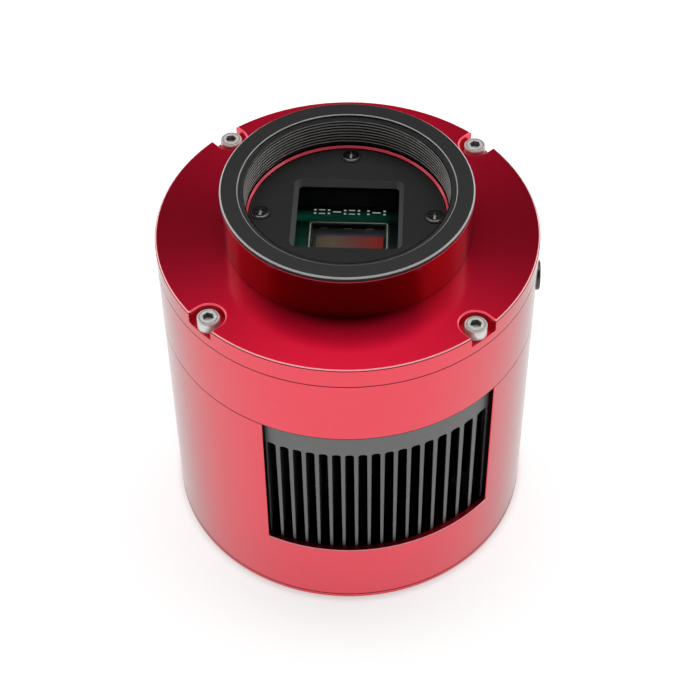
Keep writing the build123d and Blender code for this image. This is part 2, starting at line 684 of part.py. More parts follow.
# Red thin-walled shell: a ledge that the heat sink clamps, two wide vents open at the seam,
# and three inner posts for the rear cover.
POST_TOP = 13.0
with BuildPart() as lower_shell:
    with BuildSketch(Plane.XZ):
        Polygon(
            (SHELL_R, REAR_TOP + SEAM),
            (BODY_R, REAR_TOP + SEAM),
            (BODY_R, CHAMBER_BOTTOM - SEAM),
            (SHELL_R, CHAMBER_BOTTOM - SEAM),
            (SHELL_R, CHAMBER_BOTTOM),
            (LEDGE_R, CHAMBER_BOTTOM),
            (LEDGE_R, CHAMBER_BOTTOM - LEDGE_T),
            (SHELL_R, CHAMBER_BOTTOM - LEDGE_T),
        )
    revolve(axis=Axis.Z)
    with BuildSketch(Plane.XY.offset(VENT_BOTTOM)):
        Polygon(*vent_wedge(1))
        Polygon(*vent_wedge(-1))
    extrude(amount=CHAMBER_BOTTOM - VENT_BOTTOM + 1, mode=Mode.SUBTRACT)
    vent_edges = [
        edge
        for edge in lower_shell.edges()
        if abs(hypot(edge.position_at(0.5).X, edge.position_at(0.5).Y) - BODY_R) < 0.01
        and VENT_BOTTOM - 0.01 < edge.position_at(0.5).Z < CHAMBER_BOTTOM - 1
        and edge.length < 2 * BODY_R
    ]
    chamfer(vent_edges, length=VENT_CHAMFER)
    with BuildSketch(Plane.XY.offset(REAR_TOP)):
        for angle in REAR_POST_ANGLES:
            with Locations(Location((*polar(REAR_POST_R, angle), 0), angle)):
                Circle(3.0)
                Rectangle(3.7, 6.0, align=(Align.MIN, Align.CENTER))
    extrude(amount=POST_TOP - REAR_TOP)
    with BuildSketch(Plane.XY.offset(REAR_TOP)):
        with Locations(*[polar(REAR_POST_R, a) for a in REAR_POST_ANGLES]):
            Circle(1.25 + FIT)
    extrude(amount=8.0, mode=Mode.SUBTRACT)
lower_shell.part.label = "lower_shell"
export_step(lower_shell.part, "parts/lower_shell.step")

# ======================= main board and ports =======================

# Upright board beside the fins. Its ports stand on it and face the rear.
BOARD_LOW, BOARD_HIGH, BOARD_HALF = 3.0, 47.2, 28.0
with BuildPart() as main_board:
    with BuildSketch(Plane.YZ.offset(MAIN_X)):
        with Locations((0, (BOARD_LOW + BOARD_HIGH) / 2)):
            Rectangle(2 * BOARD_HALF, BOARD_HIGH - BOARD_LOW)
        with Locations(*BOARD_PADS):
            Circle(1.1, mode=Mode.SUBTRACT)
    extrude(amount=MAIN_T)
main_board.part.label = "main_board"
export_step(main_board.part, "parts/main_board.step")

main_screw = cross_screw(head_r=1.9, head_h=1.3, shank_r=1.0, length=3.2)
with BuildPart() as main_board_screws:
    with Locations(Plane((MAIN_X, 0, 0), x_dir=(0, -1, 0), z_dir=(-1, 0, 0))):
        with Locations(*[(-y, z) for y, z in BOARD_PADS]):
            add(main_screw)
main_board_screws.part.label = "main_board_screws"
export_step(main_board_screws.part, "parts/main_board_screws.step")

# Processor, memory, bridge chip, coils and capacitors on the outer side of the main board.
with BuildPart() as main_board_chips:
    with BuildSketch(Plane.YZ.offset(MAIN_X)):
        with Locations((4.0, 31.0)):
            Rectangle(15, 15)
        with Locations((-9.5, 34.5), (-9.5, 27.0)):
            Rectangle(8, 5.5)
        with Locations((19.0, 32.0)):
            Rectangle(7, 7)
    extrude(amount=-1.5)
    with BuildSketch(Plane.YZ.offset(MAIN_X)):
        with Locations((-20.5, 31.5), (-20.5, 38.0)):
            Rectangle(5, 5)
        with Locations((-7.0, 21.5), (-12.5, 21.5)):
            Circle(2.0)
    extrude(amount=-3.0)
main_board_chips.part.label = "main_board_chips"
export_step(main_board_chips.part, "parts/main_board_chips.step")

# Upright connector that carries the sensor signals through the heat sink, and its socket.
SOCKET_TOP = FIN_TOP - 0.9
with BuildPart() as signal_feedthrough:
    with BuildSketch(Plane.XY.offset(SOCKET_TOP)):
        with Locations((FEED_X, 0)):
            Rectangle(FEED_T, FEED_W)
    extrude(amount=BOARD_BOTTOM - SOCKET_TOP)
signal_feedthrough.part.label = "signal_feedthrough"
export_step(signal_feedthrough.part, "parts/signal_feedthrough.step")

with BuildPart() as signal_socket:
    with BuildSketch(Plane.XY.offset(SOCKET_TOP)):
        with Locations((MAIN_X, 0)):
            Rectangle(5.6, FEED_W + 2, align=(Align.MAX, Align.CENTER))
    extrude(amount=-5.5)
signal_socket.part.label = "signal_socket"
export_step(signal_socket.part, "parts/signal_socket.step")

# Ports, all facing -Z: centre along Y, width along Y, thickness off the board, depth along Z.
USB3_Y, USB3_W, USB3_T, USB3_D = 6.3, 12.0, 10.8, 18.0
DC_Y, DC_W, DC_T, DC_D = -5.9, 9.0, 10.8, 14.0
USB2_W, USB2_T, USB2_D = 13.1, 5.7, 14.0
USB2_Y = (20.3, -18.4)
PORT_WALL = 0.5


def port_centre(thickness):
    """X of a port's centre when it stands on the outer face of the main board."""
    return MAIN_X - thickness / 2


def port_shell(y, width, thickness, depth):
    """A drawn metal port shell, open at the rear face and closed inside."""
    with BuildPart() as shell:
        with BuildSketch(Plane.XY.offset(PORT_FACE)):
            with Locations((port_centre(thickness), y)):
                Rectangle(thickness, width)
        extrude(amount=depth)
        with BuildSketch(Plane.XY.offset(PORT_FACE)):
            with Locations((port_centre(thickness), y)):
                Rectangle(thickness - 2 * PORT_WALL, width - 2 * PORT_WALL)
        extrude(amount=depth - 1.0, mode=Mode.SUBTRACT)
    return shell.part


def port_tongue(x, y, thickness, width, depth):
    """The insulating tongue that carries the contacts inside a port."""
    with BuildPart() as tongue:
        with BuildSketch(Plane.XY.offset(PORT_FACE + 1.2)):
            with Locations((x, y)):
                Rectangle(thickness, width)
        extrude(amount=depth - 2.2)
    return tongue.part


with BuildPart() as usb3_port:
    add(port_shell(USB3_Y, USB3_W, USB3_T, USB3_D))
    add(port_tongue(port_centre(USB3_T) + 1.2, USB3_Y, 3.4, 6.0, USB3_D))
usb3_port.part.label = "usb3_port"
export_step(usb3_port.part, "parts/usb3_port.step")

for side, centre_y in zip(("a", "b"), USB2_Y):
    with BuildPart() as usb2_port:
        add(port_shell(centre_y, USB2_W, USB2_T, USB2_D))
        add(port_tongue(port_centre(USB2_T) + 0.8, centre_y, 1.9, USB2_W - 3.0, USB2_D))
    usb2_port.part.label = f"usb2_port_{side}"
    export_step(usb2_port.part, f"parts/usb2_port_{side}.step")

# Coaxial 12 V socket, 5.5 mm bore with a 2.1 mm centre pin.
with BuildPart() as dc_jack:
    with BuildSketch(Plane.XY.offset(PORT_FACE)):
        with Locations((port_centre(DC_T), DC_Y)):
            Rectangle(DC_T, DC_W)
    extrude(amount=DC_D)
    with BuildSketch(Plane.XY.offset(PORT_FACE)):
        with Locations((port_centre(DC_T), DC_Y)):
            Circle(2.9)
            Circle(1.05, mode=Mode.SUBTRACT)
    extrude(amount=DC_D - 3.0, mode=Mode.SUBTRACT)
dc_jack.part.label = "dc_jack"
export_step(dc_jack.part, "parts/dc_jack.step")

# ======================= fan =======================

FAN_CORNERS = [
    (FAN_X + sx * FAN_PITCH / 2, sy * FAN_PITCH / 2) for sx in (1, -1) for sy in (1, -1)
]
MOTOR_PLATE_T = 1.4
MOTOR_PLATE_R = 10.6
with BuildPart() as fan_frame:
    with BuildSketch(Plane.XY.offset(REAR_TOP)):
        with Locations((FAN_X, 0)):
            RectangleRounded(FAN_SIZE, FAN_SIZE, 3.0)
            Circle(DUCT_R, mode=Mode.SUBTRACT)
        with Locations(*FAN_CORNERS):
            Circle(1.6, mode=Mode.SUBTRACT)
    extrude(amount=FAN_TOP - REAR_TOP)
    with BuildSketch(Plane.XY.offset(FAN_TOP - MOTOR_PLATE_T)):
        with Locations((FAN_X, 0)):
            Circle(MOTOR_PLATE_R)
            with PolarLocations(0, 4, start_angle=20):
                Rectangle(DUCT_R + 0.4, 2.2, align=(Align.MIN, Align.CENTER))
    extrude(amount=MOTOR_PLATE_T)
    with BuildSketch(Plane.XY.offset(REAR_TOP + 2.6)):
        with Locations((FAN_X, 0)):
            Circle(3.0)
    extrude(amount=FAN_TOP - REAR_TOP - 2.6)
    with BuildSketch(Plane.XY.offset(REAR_TOP)):
        with Locations((FAN_X, 0)):
            Circle(2.0 + FIT)
    extrude(amount=FAN_TOP - REAR_TOP - 0.6, mode=Mode.SUBTRACT)
fan_frame.part.label = "fan_frame"
export_step(fan_frame.part, "parts/fan_frame.step")

# Sleeve bearing in the frame's centre tube.
with BuildPart() as fan_bearing:
    with BuildSketch(Plane.XY.offset(REAR_TOP + 2.8)):
        with Locations((FAN_X, 0)):
            Circle(2.0)
            Circle(1.0 + FIT, mode=Mode.SUBTRACT)
    extrude(amount=5.8)
fan_bearing.part.label = "fan_bearing"
export_step(fan_bearing.part, "parts/fan_bearing.step")

# Four-pole stator around the centre tube.
with BuildPart() as fan_stator:
    with BuildSketch(Plane.XY.offset(REAR_TOP + 3.4)):
        with Locations((FAN_X, 0)):
            Circle(4.2)
            with PolarLocations(0, 4):
                Rectangle(7.4, 2.2, align=(Align.MIN, Align.CENTER))
            with PolarLocations(6.9, 4):
                Rectangle(1.0, 6.4)
            Circle(3.0 + FIT, mode=Mode.SUBTRACT)
    extrude(amount=4.4)
fan_stator.part.label = "fan_stator"
export_step(fan_stator.part, "parts/fan_stator.step")

# Impeller: a cup-shaped hub with swept blades. It turns in the frame.
HUB_LOW, HUB_HIGH = REAR_TOP + 0.6, FAN_TOP - MOTOR_PLATE_T - 0.4
BLADE_TWIST = 34.0


def blade_outline(turn):
    """A thin radial blade section, leaning by the given angle."""
    return [
        polar(HUB_R - 0.5, turn - 3.5),
        polar(BLADE_R, turn - 2.2),
        polar(BLADE_R, turn + 2.2),
        polar(HUB_R - 0.5, turn + 3.5),
    ]


def fan_blade():
    """One swept blade, lofted from its lower to its upper section."""
    with BuildPart() as blade:
        with BuildSketch(Plane.XY.offset(HUB_LOW + 0.2)):
            with Locations((FAN_X, 0)):
                Polygon(*blade_outline(-BLADE_TWIST / 2))
        with BuildSketch(Plane.XY.offset(HUB_HIGH - 0.2)):
            with Locations((FAN_X, 0)):
                Polygon(*blade_outline(BLADE_TWIST / 2))
        loft()
    return blade.part


with BuildPart() as fan_rotor:
    with BuildSketch(Plane.XY.offset(HUB_LOW)):
        with Locations((FAN_X, 0)):
            Circle(HUB_R)
    extrude(amount=HUB_HIGH - HUB_LOW)
    chamfer(fan_rotor.edges().group_by(Axis.Z)[0], length=0.6)
    with BuildSketch(Plane.XY.offset(HUB_LOW + 1.2)):
        with Locations((FAN_X, 0)):
            Circle(HUB_R - 1.0)
    extrude(amount=HUB_HIGH - HUB_LOW, mode=Mode.SUBTRACT)
    with BuildSketch(Plane.XY.offset(HUB_LOW)):
        with Locations((FAN_X, 0)):
            Circle(1.0)
    extrude(amount=1.2, mode=Mode.SUBTRACT)
    blade = fan_blade()
    for n in range(BLADES):
        add(blade.rotate(Axis((FAN_X, 0, 0), (0, 0, 1)), n * 360 / BLADES))
fan_rotor.part.label = "fan_rotor"
export_step(fan_rotor.part, "parts/fan_rotor.step")

with BuildPart() as fan_magnet_ring:
    with BuildSketch(Plane.XY.offset(HUB_LOW + 1.3)):
        with Locations((FAN_X, 0)):
            Circle(HUB_R - 1.0 - 0.02)
            Circle(HUB_R - 2.2, mode=Mode.SUBTRACT)
    extrude(amount=HUB_HIGH - HUB_LOW - 1.5)
fan_magnet_ring.part.label = "fan_magnet_ring"
export_step(fan_magnet_ring.part, "parts/fan_magnet_ring.step")

with BuildPart() as fan_shaft:
    with BuildSketch(Plane.XY.offset(HUB_LOW)):
        with Locations((FAN_X, 0)):
            Circle(1.0)
    extrude(amount=7.6)
fan_shaft.part.label = "fan_shaft"
export_step(fan_shaft.part, "parts/fan_shaft.step")

FAN_SCREW_LENGTH = 13.6
fan_screw = countersunk_screw(head_r=2.4, shank_r=1.25, length=FAN_SCREW_LENGTH)
with BuildPart() as fan_screws:
    with Locations(*FAN_CORNERS):
        add(fan_screw)
fan_screws.part.label = "fan_screws"
export_step(fan_screws.part, "parts/fan_screws.step")

with BuildPart() as fan_nuts:
    with BuildSketch(Plane.XY.offset(FAN_TOP)):
        with Locations(*FAN_CORNERS):
            RegularPolygon(2.5, 6, major_radius=False)
            Circle(1.25 + FIT, mode=Mode.SUBTRACT)
    extrude(amount=2.0)
fan_nuts.part.label = "fan_nuts"
export_step(fan_nuts.part, "parts/fan_nuts.step")

# ======================= rear cover =======================

# Flat red disc with a ring-slot grille over the fan, port cut-outs and countersunk screws.
GRILLE = [(6.0, 8.6), (10.4, 13.0), (14.8, 17.4)]
SPOKE_W = 2.4
PORT_GAP = 0.25
PORT_CUTS = [
    (port_centre(USB3_T), USB3_Y, USB3_T, USB3_W),
    (port_centre(DC_T), DC_Y, DC_T, DC_W),
    (port_centre(USB2_T), USB2_Y[0], USB2_T, USB2_W),
    (port_centre(USB2_T), USB2_Y[1], USB2_T, USB2_W),
]
with BuildPart() as rear_cover:
    with BuildSketch(Plane.XZ):
        Polygon((0, 0), (BODY_R - 0.5, 0), (BODY_R, 0.5), (BODY_R, REAR_TOP), (0, REAR_TOP))
    revolve(axis=Axis.Z)
    with BuildSketch(Plane.XY) as grille:
        with Locations((FAN_X, 0)):
            for inner, outer in reversed(GRILLE):
                Circle(outer)
                Circle(inner, mode=Mode.SUBTRACT)
            with PolarLocations(0, 4, start_angle=45):
                Rectangle(DUCT_R, SPOKE_W, align=(Align.MIN, Align.CENTER), mode=Mode.SUBTRACT)
    extrude(amount=REAR_TOP, mode=Mode.SUBTRACT)
    with BuildSketch(Plane.XY):
        for x, y, thickness, width in PORT_CUTS:
            with Locations((x, y)):
                Rectangle(thickness + 2 * PORT_GAP, width + 2 * PORT_GAP)
    extrude(amount=REAR_TOP, mode=Mode.SUBTRACT)
    with Locations(Plane.XY * Rotation(180, 0, 0)):
        with Locations(*[(x, -y) for x, y in FAN_CORNERS]):
            CounterSinkHole(1.25 + FIT, 2.4 + FIT, depth=REAR_TOP, counter_sink_angle=90)
        with Locations(*[polar(REAR_POST_R, -a) for a in REAR_POST_ANGLES]):
            CounterSinkHole(1.25 + FIT, 2.4 + FIT, depth=REAR_TOP, counter_sink_angle=90)
rear_cover.part.label = "rear_cover"
export_step(rear_cover.part, "parts/rear_cover.step")

rear_screw = countersunk_screw(head_r=2.4, shank_r=1.25, length=8.0)
with BuildPart() as rear_cover_screws:
    with Locations(*[polar(REAR_POST_R, a) for a in REAR_POST_ANGLES]):
        add(rear_screw)
rear_cover_screws.part.label = "rear_cover_screws"
export_step(rear_cover_screws.part, "parts/rear_cover_screws.step")
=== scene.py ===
"""The looks of a cooled astronomy camera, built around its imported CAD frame.

Everything is in metres in the CAD frame, with the optical axis along Z. Sizes written in
millimetres are multiplied by MM where they are used."""
import json
import math

import bmesh
import bpy
from mathutils import Matrix, Vector


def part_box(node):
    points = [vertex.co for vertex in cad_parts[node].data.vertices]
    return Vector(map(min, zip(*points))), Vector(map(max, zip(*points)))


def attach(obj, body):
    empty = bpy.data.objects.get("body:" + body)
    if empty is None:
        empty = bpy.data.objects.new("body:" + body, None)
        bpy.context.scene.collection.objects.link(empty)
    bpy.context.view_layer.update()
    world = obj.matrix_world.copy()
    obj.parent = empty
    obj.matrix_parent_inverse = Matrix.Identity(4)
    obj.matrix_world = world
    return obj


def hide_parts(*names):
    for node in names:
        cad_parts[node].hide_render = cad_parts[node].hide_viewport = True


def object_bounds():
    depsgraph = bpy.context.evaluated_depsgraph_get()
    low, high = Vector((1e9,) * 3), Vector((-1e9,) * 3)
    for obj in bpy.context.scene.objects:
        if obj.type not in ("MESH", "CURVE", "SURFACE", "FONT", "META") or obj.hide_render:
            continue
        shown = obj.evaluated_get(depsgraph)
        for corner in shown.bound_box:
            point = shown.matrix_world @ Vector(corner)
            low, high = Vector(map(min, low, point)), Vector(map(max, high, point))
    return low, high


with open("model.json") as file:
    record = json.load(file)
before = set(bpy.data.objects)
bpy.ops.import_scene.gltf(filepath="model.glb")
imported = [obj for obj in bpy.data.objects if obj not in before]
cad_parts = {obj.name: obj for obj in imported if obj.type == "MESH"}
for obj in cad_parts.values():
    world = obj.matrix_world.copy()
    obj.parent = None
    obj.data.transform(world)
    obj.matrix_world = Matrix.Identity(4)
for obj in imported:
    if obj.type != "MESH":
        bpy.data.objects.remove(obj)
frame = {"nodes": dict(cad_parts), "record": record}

MM = 0.001
cad_low, cad_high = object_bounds()
scene = bpy.context.scene
scene.view_settings.view_transform = "Standard"

SEAMS = [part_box(lower)[1].z / MM for lower in ("rear_cover", "lower_shell", "chamber_shell")]
VENT_BOTTOM = 17.4
COVER_TOP, NECK_TOP = (corner.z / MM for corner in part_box("neck_ring"))
RING_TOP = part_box("t2_adapter_ring")[1].z / MM
RING_SHELF = RING_TOP - 0.7  # where the adapter ring's wide mouth ends and its thread begins
RIM_FROM, RIM_TO = 38.3, 38.6  # radii between which a chamfer's painted glint turns to the outer wall's colour
BLUR = 0.05  # how softly the tilt bands of facing() end


# ---------------------------------------------------------------- camera
def make_camera():
    """The camera at the photograph's viewing angle, aimed at the middle of the body."""
    turn = math.radians(2.82)
    elevation = math.radians(47.99)
    roll = math.radians(-0.54)
    target = Vector((0.27, 0.016, 37.66)) * MM
    distance = 395.3 * MM
    back = Vector((
        math.sin(turn) * math.cos(elevation),
        -math.cos(turn) * math.cos(elevation),
        math.sin(elevation),
    ))
    level_right = (-back).cross(Vector((0, 0, 1))).normalized()
    level_up = level_right.cross(-back)
    right = math.cos(roll) * level_right + math.sin(roll) * level_up
    up = -math.sin(roll) * level_right + math.cos(roll) * level_up
    data = bpy.data.cameras.new("Camera")
    data.sensor_width = 36.0
    data.lens = 93.33
    data.clip_start = 0.01
    data.clip_end = 50.0
    camera = bpy.data.objects.new("Camera", data)
    turned = Matrix((right, up, back)).transposed().to_4x4()
    turned.translation = target + back * distance
    camera.matrix_world = turned
    scene.collection.objects.link(camera)
    scene.camera = camera


make_camera()


# ---------------------------------------------------------------- node helpers
def grey(value):
    """A neutral colour."""
    return (value, value, value)


class Tree:
    """A material's node tree with one Principled shader, and short ways to add nodes."""

    def __init__(self, name):
        self.material = bpy.data.materials.new(name)
        self.material.use_nodes = True
        self.tree = self.material.node_tree
        self.tree.nodes.clear()
        self.output = self.tree.nodes.new("ShaderNodeOutputMaterial")
        self.shader = self.node("ShaderNodeBsdfPrincipled")
        self.link(self.shader.outputs[0], self.output.inputs["Surface"])

    def node(self, kind, **settings):
        made = self.tree.nodes.new(kind)
        for key, value in settings.items():
            setattr(made, key, value)
        return made

    def link(self, source, target):
        self.tree.links.new(source, target)

    def set(self, **values):
        """Sets the Principled shader's plain values: Base_Color=..., Coat_Weight=..."""
        for key, value in values.items():
            self.shader.inputs[key.replace("_", " ")].default_value = value

    def drive(self, **outputs):
        """Links outputs to the Principled shader's sockets: Base_Color=..., Roughness=..."""
        for key, output in outputs.items():
            self.link(output, self.shader.inputs[key.replace("_", " ")])

    def feed(self, socket, value):
        """Links an output, or sets a plain value."""
        if isinstance(value, bpy.types.NodeSocket):
            self.link(value, socket)
        else:
            socket.default_value = value

    def math(self, operation, a, b=0.0):
        made = self.node("ShaderNodeMath", operation=operation)
        self.feed(made.inputs[0], a)
        self.feed(made.inputs[1], b)
        return made.outputs[0]

    def times(self, a, b):
        return self.math("MULTIPLY", a, b)

    def parts_of(self, vector):
        """A vector's x, y and z."""
        split = self.node("ShaderNodeSeparateXYZ")
        self.link(vector, split.inputs[0])
        return split.outputs[0], split.outputs[1], split.outputs[2]

    def place(self):
        """The point's x, y and z in the shared frame."""
        return self.parts_of(self.node("ShaderNodeTexCoord").outputs["Object"])

    def radius(self, x, y):
        return self.math("SQRT", self.math("ADD", self.times(x, x), self.times(y, y)))

    def outside_of(self, value, limit):
        """How far a value's size is past a limit; less than nothing when it is within it."""
        return self.math("SUBTRACT", self.math("ABSOLUTE", value), limit)

    def vector(self, x, y, z):
        made = self.node("ShaderNodeCombineXYZ")
        for socket, value in zip(made.inputs, (x, y, z)):
            self.feed(socket, value)
        return made.outputs[0]

    def noise(self, scale, detail=2.0, roughness=0.5, vector=None):
        made = self.node("ShaderNodeTexNoise", noise_dimensions="3D")
        made.inputs["Scale"].default_value = scale
        made.inputs["Detail"].default_value = detail
        made.inputs["Roughness"].default_value = roughness
        if vector is None:
            vector = self.node("ShaderNodeTexCoord").outputs["Object"]
        self.link(vector, made.inputs["Vector"])
        return made.outputs["Fac"]

    def span(self, value, low, high, to_low=0.0, to_high=1.0):
        """value from low..high mapped to to_low..to_high, held at both ends."""
        made = self.node("ShaderNodeMapRange")
        for socket, number in zip(made.inputs, (value, low, high, to_low, to_high)):
            self.feed(socket, number)
        return made.outputs[0]

    def ramp(self, value, stops):
        """Colours along a value: (place, colour) for each stop."""
        made = self.node("ShaderNodeValToRGB")
        ramp = made.color_ramp
        while len(ramp.elements) < len(stops):
            ramp.elements.new(0.5)
        for element, (place, colour) in zip(ramp.elements, stops):
            element.position = place
            element.color = (*colour, 1.0)
        self.link(value, made.inputs[0])
        return made.outputs[0]

    def mix(self, factor, a, b):
        """A colour between a and b."""
        made = self.node("ShaderNodeMix", data_type="RGBA")
        self.feed(made.inputs["Factor"], factor)
        sockets = [s for s in made.inputs if s.type == "RGBA"]
        for socket, value in zip(sockets, (a, b)):
            is_output = isinstance(value, bpy.types.NodeSocket)
            self.feed(socket, value if is_output else (*value, 1.0))
        return [s for s in made.outputs if s.type == "RGBA"][0]

    def rounded(self, radius):
        """The normal of a surface whose corners look rounded off by that radius."""
        made = self.node("ShaderNodeBevel", samples=4)
        made.inputs["Radius"].default_value = radius
        return made.outputs[0]

    def bump(self, height, distance, normal=None):
        """Fine relief, on top of another normal if there is one."""
        made = self.node("ShaderNodeBump")
        if normal:
            self.link(normal, made.inputs["Normal"])
        made.inputs["Distance"].default_value = distance
        self.link(height, made.inputs["Height"])
        self.drive(Normal=made.outputs[0])

    def flat_normal(self):
        """The x, y and z of the flat face's own normal."""
        return self.parts_of(self.node("ShaderNodeNewGeometry").outputs["True Normal"])

    def band(self, value, low, high, blur):
        """1 between low and high."""
        above = self.span(value, low - blur, low)
        below = self.span(value, high, high + blur, 1.0, 0.0)
        return self.times(above, below)

    def facing(self, low, high):
        """1 where the flat face's upward tilt is between low and high."""
        return self.band(self.flat_normal()[2], low, high, BLUR)

    def level(self, on_walls, on_flats):
        """One value on upright faces and another on level ones."""
        wall_tilt, flat_tilt = 0.6, 0.95
        tilt = self.math("ABSOLUTE", self.flat_normal()[2])
        return self.span(tilt, wall_tilt, flat_tilt, on_walls, on_flats)

    def painted_seam_shade(self, z):
        """1 in the grooves between the turned shells, which get painted shade."""
        half, blur = 0.09, 0.04
        low, middle, high = [
            self.band(z, (seam - half) * MM, (seam + half) * MM, blur * MM) for seam in SEAMS
        ]
        return self.math("MAXIMUM", low, self.math("MAXIMUM", middle, high))

    def cut_side_shade(self, x, y, z, radius):
        """1 on the upright cut faces beside the vents, which get painted shade."""
        sideways, outward = 0.3, 0.5  # how far a face looks outward, from 0 to 1
        margin, blur = 0.4, 0.3
        normal_x, normal_y, _ = self.flat_normal()
        out = self.math("ADD", self.times(normal_x, x), self.times(normal_y, y))
        turned = self.math("ABSOLUTE", self.math("DIVIDE", out, radius))
        beside = self.times(self.span(turned, sideways, outward, 1.0, 0.0), self.level(1.0, 0.0))
        in_vent = self.band(z, (VENT_BOTTOM - margin) * MM, SEAMS[1] * MM, blur * MM)
        return self.times(beside, in_vent)

    def around(self):
        """Sets the shader's tangent along the turning marks, round the optical axis."""
        made = self.node("ShaderNodeTangent", direction_type="RADIAL", axis="Z")
        self.drive(Tangent=made.outputs[0])


# ---------------------------------------------------------------- finishes
def turned_metal(
    name, light, dark, rough, painted_chamfer_tone, anisotropic, metallic=1.0, coats=(0.0, 0.0),
    painted_glint=(1.0, 0.43, 0.46), inner_painted_glint=(1.0, 0.10, 0.16), painted_glint_from=COVER_TOP - 0.35,
    painted_glint_glow=0.48, **plain,
):
    """Turned and anodised aluminium: fine grooves round the axis, patches of tone, cut chamfers in
    a painted tone (painted shade on the reds, a painted highlight on the black).

    From a given height up, the upper lip of each chamfer has a painted highlight that glows, in
    one colour on the outer wall and another inside it, and so has the vents' lower edge. The
    seams and the cut faces beside the vents have painted shade. coats are the clear coat on
    walls and on flats."""
    groove_scale = 9000.0
    groove_height = 0.0004
    patch_scale = 45.0
    corner_radius = 0.11
    outer_lift = 0.18  # the outer wall's painted glint begins this much higher
    glint_low, glint_high = 0.64, 0.97  # upward tilts of a rounded corner's painted highlight
    glint_metallic = 0.3
    chamfer_low, chamfer_high = 0.6, 0.8  # upward tilts of a chamfer
    sill_glint_strength = 0.8
    painted_shade = 0.06  # tone of the painted shade in seams and on the vents' cut sides, as a share of the dark tone
    t = Tree(name)
    t.set(Anisotropic=anisotropic, Anisotropic_Rotation=0.25, **plain)
    t.around()
    x, y, z = t.place()
    radius = t.radius(x, y)

    scaled = t.vector(t.times(radius, groove_scale), t.times(z, groove_scale), 0.0)
    grooves = t.noise(1.0, 2.0, 0.6, scaled)
    patches = t.noise(patch_scale, 3.0, 0.55)
    tone = t.math("ADD", t.times(patches, 0.7), t.times(grooves, 0.3))

    corners = t.rounded(corner_radius * MM)
    outside = t.span(radius, RIM_FROM * MM, RIM_TO * MM)
    start = t.math("ADD", t.times(outside, outer_lift * MM), painted_glint_from * MM)
    high = t.span(t.math("SUBTRACT", z, start), -0.04 * MM, 0.02 * MM)
    # a painted highlight along the vents' lower edge, on the outer wall only
    sill_glint_band = t.band(z, (VENT_BOTTOM - 0.2) * MM, (VENT_BOTTOM + 0.02) * MM, 0.05 * MM)
    sill_glint = t.times(sill_glint_band, t.times(outside, sill_glint_strength))
    edge = t.band(t.parts_of(corners)[2], glint_low, glint_high, 0.02)
    # painted highlight: the rounded lips above the start height and the sill get a lighter colour
    # that glows
    glint_mask = t.times(edge, t.math("MAXIMUM", high, sill_glint))
    glint_colour = t.mix(outside, inner_painted_glint, painted_glint)

    plain_tone = t.mix(t.span(tone, 0.3, 0.7), dark, light)
    # chamfers in a painted tone: painted shade on the reds, a painted highlight on the black
    body = t.mix(t.facing(chamfer_low, chamfer_high), plain_tone, painted_chamfer_tone)
    # painted shade in the seams and on the vents' cut sides
    shade = t.math("MAXIMUM", t.painted_seam_shade(z), t.cut_side_shade(x, y, z, radius))
    body = t.mix(shade, body, tuple(c * painted_shade for c in dark))
    fine = t.span(grooves, 0.2, 0.8, rough - 0.02, rough + 0.02)
    t.drive(
        Base_Color=t.mix(glint_mask, body, glint_colour),
        Emission_Color=glint_colour,
        Emission_Strength=t.times(glint_mask, painted_glint_glow),
        Metallic=t.span(glint_mask, 0.0, 1.0, metallic, glint_metallic),
        Roughness=t.math("ADD", fine, t.level(0.0, 0.05)),
    )
    if coats[0]:
        t.drive(Coat_Weight=t.times(t.level(*coats), t.math("SUBTRACT", 1.0, shade)))
    t.bump(grooves, groove_height * MM, corners)
    return t


def speckled(
    name, light, dark, rough, scale, bump, metallic=0.0, slope_highlight=None, tilts=(0.35, 0.75),
    **plain,
):
    """A moulded, cast or painted surface with fine grain, of that scale and height in mm.

    Faces whose upward tilt is between tilts are painted lighter as a highlight, in the colour
    given for that, if there is one."""
    broad_scale = scale * 0.08
    spread = 0.05  # how far the roughness varies each way
    t = Tree(name)
    t.set(Metallic=metallic, **plain)
    grain = t.noise(scale, 4.0, 0.6)
    broad = t.noise(broad_scale, 2.0, 0.5)
    tone = t.math("ADD", t.times(grain, 0.5), t.times(broad, 0.5))
    colour = t.mix(t.span(tone, 0.3, 0.7), dark, light)
    # a painted highlight on the slopes
    if slope_highlight:
        colour = t.mix(t.facing(*tilts), colour, slope_highlight)
    t.drive(
        Base_Color=colour,
        Roughness=t.span(grain, 0.25, 0.75, rough - spread, rough + spread),
    )
    t.bump(grain, bump * MM)
    return t


def recessed_screw():
    """A blackened screw with a painted highlight at the bottom of its cross recess and on its rim.
    """
    recess_low, recess_high = 78.25, 78.4  # the recess's bottom is below this
    t = Tree("black_screw")
    t.set(IOR=2.0)
    z = t.place()[2]
    grain = t.noise(900.0, 4.0, 0.6)
    below = t.span(z, recess_low * MM, recess_high * MM, 1.0, 0.0)
    # painted highlight on the recess's bottom and on the sloped rim
    bottom = t.times(below, t.facing(0.9, 1.0))
    rim_highlight = t.times(t.facing(0.35, 0.75), 0.2)
    painted_highlight = t.math("MAXIMUM", bottom, rim_highlight)
    t.drive(
        Base_Color=t.mix(painted_highlight, t.mix(grain, grey(0.008), grey(0.012)), grey(0.7)),
        Roughness=t.span(grain, 0.25, 0.75, 0.1, 0.2),
    )
    t.bump(grain, 0.002 * MM)
    return t


